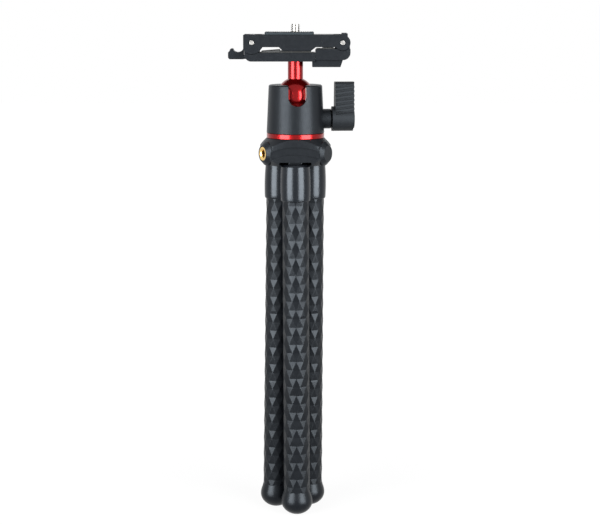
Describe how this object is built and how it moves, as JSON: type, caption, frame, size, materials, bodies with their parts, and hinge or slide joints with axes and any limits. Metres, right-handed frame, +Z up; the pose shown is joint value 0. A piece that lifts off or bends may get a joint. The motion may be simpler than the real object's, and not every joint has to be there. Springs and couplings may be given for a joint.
{
  "type": "flexible leg tripod",
  "caption": "Pocket tripod with flexible faceted rubber legs, a ball head with lever knob and a folding telephone clamp carrying a camera screw.",
  "frame": {"origin": "centre of the camera screw at the top face of the camera pad", "axes": "+Z up along the camera screw, +X along the clamp towards its sliding jaw and the locking knob, -Y the front with the stem's slot"},
  "size_m": [0.0869, 0.0507, 0.3429],
  "materials": {
    "black_metal": "satin black anodised aluminium",
    "red_metal": "bright red anodised aluminium",
    "steel": "plain steel",
    "brass": "turned brass",
    "cup_plastic": "smooth dark plastic",
    "knob_plastic": "matt dark plastic",
    "seat_plastic": "low friction white plastic",
    "leg_rubber": "dark grey moulded rubber",
    "grip_rubber": "grey rubber",
    "pad_rubber": "black rubber",
    "core_metal": "bare soft aluminium"
  },
  "bodies": {
    "hub": {"leg_hub": "black_metal", "thread_insert": "brass", "leg_pins": "steel", "base_ring": "red_metal", "pan_stud": "steel"},
    "head": {"head_housing": "black_metal", "upper_ball_seat": "seat_plastic", "lower_ball_seat": "seat_plastic", "housing_base": "black_metal", "knob_collar": "black_metal"},
    "plug": {"lock_plug": "brass"},
    "knob": {"lever_knob": "knob_plastic", "lock_screw": "steel"},
    "ball": {"ball_stem": "red_metal"},
    "base": {"base_bar": "black_metal", "base_screw": "steel", "base_pad": "grip_rubber", "base_pins": "steel", "latch_spring": "steel"},
    "latch": {"latch_lever": "black_metal"},
    "top": {"top_bar": "black_metal", "camera_pad": "pad_rubber", "return_springs": "steel"},
    "screw": {"camera_screw": "steel"},
    "carriage": {"carriage": "black_metal", "guide_rods": "steel", "right_hinge_pin": "steel"},
    "jaw": {"flip_jaw": "black_metal", "jaw_pad": "grip_rubber", "cold_shoe": "black_metal"},
    "leg_1": {"leg_1_cup": "cup_plastic"},
    "leg_1_part_1": {"leg_1_core_1": "core_metal", "leg_1_sleeve_1": "leg_rubber"},
    "leg_1_part_2": {"leg_1_core_2": "core_metal", "leg_1_sleeve_2": "leg_rubber"},
    "leg_1_part_3": {"leg_1_core_3": "core_metal", "leg_1_sleeve_3": "leg_rubber"},
    "leg_1_part_4": {"leg_1_core_4": "core_metal", "leg_1_sleeve_4": "leg_rubber", "leg_1_foot": "leg_rubber"},
    "leg_2": {"leg_2_cup": "cup_plastic"},
    "leg_2_part_1": {"leg_2_core_1": "core_metal", "leg_2_sleeve_1": "leg_rubber"},
    "leg_2_part_2": {"leg_2_core_2": "core_metal", "leg_2_sleeve_2": "leg_rubber"},
    "leg_2_part_3": {"leg_2_core_3": "core_metal", "leg_2_sleeve_3": "leg_rubber"},
    "leg_2_part_4": {"leg_2_core_4": "core_metal", "leg_2_sleeve_4": "leg_rubber", "leg_2_foot": "leg_rubber"},
    "leg_3": {"leg_3_cup": "cup_plastic"},
    "leg_3_part_1": {"leg_3_core_1": "core_metal", "leg_3_sleeve_1": "leg_rubber"},
    "leg_3_part_2": {"leg_3_core_2": "core_metal", "leg_3_sleeve_2": "leg_rubber"},
    "leg_3_part_3": {"leg_3_core_3": "core_metal", "leg_3_sleeve_3": "leg_rubber"},
    "leg_3_part_4": {"leg_3_core_4": "core_metal", "leg_3_sleeve_4": "leg_rubber", "leg_3_foot": "leg_rubber"}
  },
  "joints": [
    {"name": "head_pan", "type": "hinge", "parent": "hub", "child": "head", "pos_m": [0, 0, -0.0687], "axis": [0, 0, 1], "continuous": true},
    {"name": "ball_tilt", "type": "hinge", "parent": "head", "child": "ball", "pos_m": [0, 0, -0.0439], "axis": [0.9963, 0.0854, 0], "range_deg": [-26, 90]},
    {"name": "clamp_turn", "type": "hinge", "parent": "ball", "child": "base", "pos_m": [0, 0, -0.0439], "axis": [0, 0, 1], "continuous": true},
    {"name": "lock_plug_slide", "type": "slide", "parent": "head", "child": "plug", "axis": [0.9963, 0.0854, 0], "range_m": [0, 0.00083333]},
    {"name": "knob_turn", "type": "hinge", "parent": "plug", "child": "knob", "pos_m": [0, 0, -0.0595], "axis": [0.9963, 0.0854, 0], "range_deg": [0, 300]},
    {"name": "latch_press", "type": "hinge", "parent": "base", "child": "latch", "pos_m": [-0.031, 0, -0.0168], "axis": [0, -1, 0], "range_deg": [0, 7], "stiffness_Nm_per_rad": 0.1, "springref_deg": -8.59, "deforming": ["latch_spring"]},
    {"name": "top_flip", "type": "hinge", "parent": "base", "child": "top", "pos_m": [-0.0296, 0, -0.0071], "axis": [0, -1, 0], "range_deg": [0, 90]},
    {"name": "camera_screw_turn", "type": "hinge", "parent": "top", "child": "screw", "pos_m": [0, 0, 0], "axis": [0, 0, 1], "continuous": true},
    {"name": "carriage_slide", "type": "slide", "parent": "top", "child": "carriage", "axis": [1, 0, 0], "range_m": [0, 0.025], "stiffness_N_per_m": 150, "springref_m": -0.02, "deforming": ["return_springs"]},
    {"name": "jaw_swing", "type": "hinge", "parent": "carriage", "child": "jaw", "pos_m": [0.0321, 0, -0.0071], "axis": [0, -1, 0], "range_deg": [0, 90]},
    {"name": "leg_1_swing", "type": "hinge", "parent": "hub", "child": "leg_1", "pos_m": [-0.00001, -0.01499, -0.08499], "axis": [-1, 0, -0.004], "range_deg": [0, 28]},
    {"name": "leg_1_bend_1", "type": "hinge", "parent": "leg_1", "child": "leg_1_part_1", "pos_m": [0.00012, -0.01265, -0.1177], "axis": [-1, 0, -0.004], "range_deg": [0, 30]},
    {"name": "leg_1_bend_2", "type": "hinge", "parent": "leg_1_part_1", "child": "leg_1_part_2", "pos_m": [0.00032, -0.0129, -0.16877], "axis": [-1, 0, -0.004], "range_deg": [0, 30]},
    {"name": "leg_1_bend_3", "type": "hinge", "parent": "leg_1_part_2", "child": "leg_1_part_3", "pos_m": [0.00053, -0.01315, -0.21985], "axis": [-1, 0, -0.004], "range_deg": [0, 30]},
    {"name": "leg_1_bend_4", "type": "hinge", "parent": "leg_1_part_3", "child": "leg_1_part_4", "pos_m": [0.00073, -0.0134, -0.27092], "axis": [-1, 0, -0.004], "range_deg": [0, 30]},
    {"name": "leg_2_swing", "type": "hinge", "parent": "hub", "child": "leg_2", "pos_m": [0.013, 0.00747, -0.085], "axis": [0.5, -0.866, -0.0109], "range_deg": [0, 28]},
    {"name": "leg_2_bend_1", "type": "hinge", "parent": "leg_2", "child": "leg_2_part_1", "pos_m": [0.01069, 0.00654, -0.1177], "axis": [0.5, -0.866, -0.0109], "range_deg": [0, 30]},
    {"name": "leg_2_bend_2", "type": "hinge", "parent": "leg_2_part_1", "child": "leg_2_part_2", "pos_m": [0.01045, 0.00705, -0.16877], "axis": [0.5, -0.866, -0.0109], "range_deg": [0, 30]},
    {"name": "leg_2_bend_3", "type": "hinge", "parent": "leg_2_part_2", "child": "leg_2_part_3", "pos_m": [0.01021, 0.00756, -0.21984], "axis": [0.5, -0.866, -0.0109], "range_deg": [0, 30]},
    {"name": "leg_2_bend_4", "type": "hinge", "parent": "leg_2_part_3", "child": "leg_2_part_4", "pos_m": [0.00998, 0.00807, -0.27091], "axis": [0.5, -0.866, -0.0109], "range_deg": [0, 30]},
    {"name": "leg_3_swing", "type": "hinge", "parent": "hub", "child": "leg_3", "pos_m": [-0.01295, 0.00752, -0.08498], "axis": [0.5, 0.866, -0.0109], "range_deg": [0, 28]},
    {"name": "leg_3_bend_1", "type": "hinge", "parent": "leg_3", "child": "leg_3_part_1", "pos_m": [-0.01122, 0.0061, -0.1177], "axis": [0.5, 0.866, -0.0109], "range_deg": [0, 30]},
    {"name": "leg_3_bend_2", "type": "hinge", "parent": "leg_3_part_1", "child": "leg_3_part_2", "pos_m": [-0.01189, 0.00585, -0.16877], "axis": [0.5, 0.866, -0.0109], "range_deg": [0, 30]},
    {"name": "leg_3_bend_3", "type": "hinge", "parent": "leg_3_part_2", "child": "leg_3_part_3", "pos_m": [-0.01256, 0.00559, -0.21984], "axis": [0.5, 0.866, -0.0109], "range_deg": [0, 30]},
    {"name": "leg_3_bend_4", "type": "hinge", "parent": "leg_3_part_3", "child": "leg_3_part_4", "pos_m": [-0.01324, 0.00534, -0.27091], "axis": [0.5, 0.866, -0.0109], "range_deg": [0, 30]}
  ],
  "couplings": [
    {"joint": "knob_turn", "follows": "lock_plug_slide", "rad_per_m": 6283.2},
    {"joint": "leg_1_bend_2", "follows": "leg_1_bend_1", "ratio": 1},
    {"joint": "leg_1_bend_3", "follows": "leg_1_bend_1", "ratio": 1},
    {"joint": "leg_1_bend_4", "follows": "leg_1_bend_1", "ratio": 1},
    {"joint": "leg_2_bend_2", "follows": "leg_2_bend_1", "ratio": 1},
    {"joint": "leg_2_bend_3", "follows": "leg_2_bend_1", "ratio": 1},
    {"joint": "leg_2_bend_4", "follows": "leg_2_bend_1", "ratio": 1},
    {"joint": "leg_3_bend_2", "follows": "leg_3_bend_1", "ratio": 1},
    {"joint": "leg_3_bend_3", "follows": "leg_3_bend_1", "ratio": 1},
    {"joint": "leg_3_bend_4", "follows": "leg_3_bend_1", "ratio": 1}
  ]
}
